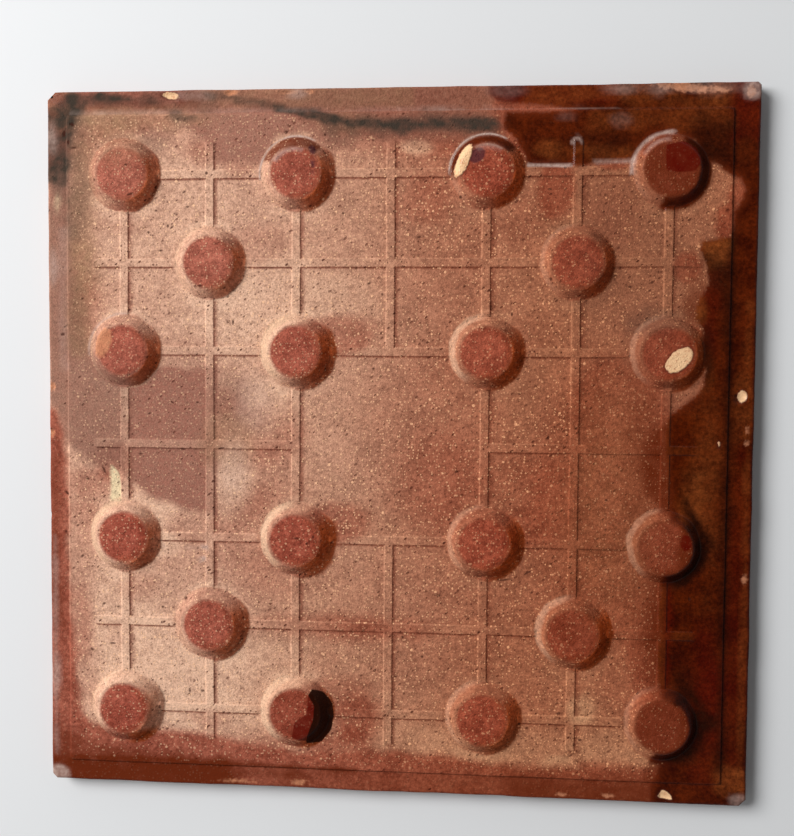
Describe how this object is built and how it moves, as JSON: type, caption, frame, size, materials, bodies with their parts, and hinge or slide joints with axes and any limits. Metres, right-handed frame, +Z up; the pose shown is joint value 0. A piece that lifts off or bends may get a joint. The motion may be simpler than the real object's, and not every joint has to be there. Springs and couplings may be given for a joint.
{
  "type": "studded ceramic floor tile",
  "caption": "Square pressed clay floor tile lying on its glazed face, its laying side up with round studs, a lattice of low ribs and a stepped rim.",
  "frame": {"origin": "middle of the square on the plane that the glazed face lies on", "axes": "+Z up, out of the studded laying side; +X and +Y along the tile's edges, +Y to the top of the picture"},
  "size_m": [0.2, 0.2, 0.009],
  "materials": {
    "clay": "matte"
  },
  "bodies": {
    "root": {"tile": "clay"}
  },
  "joints": []
}
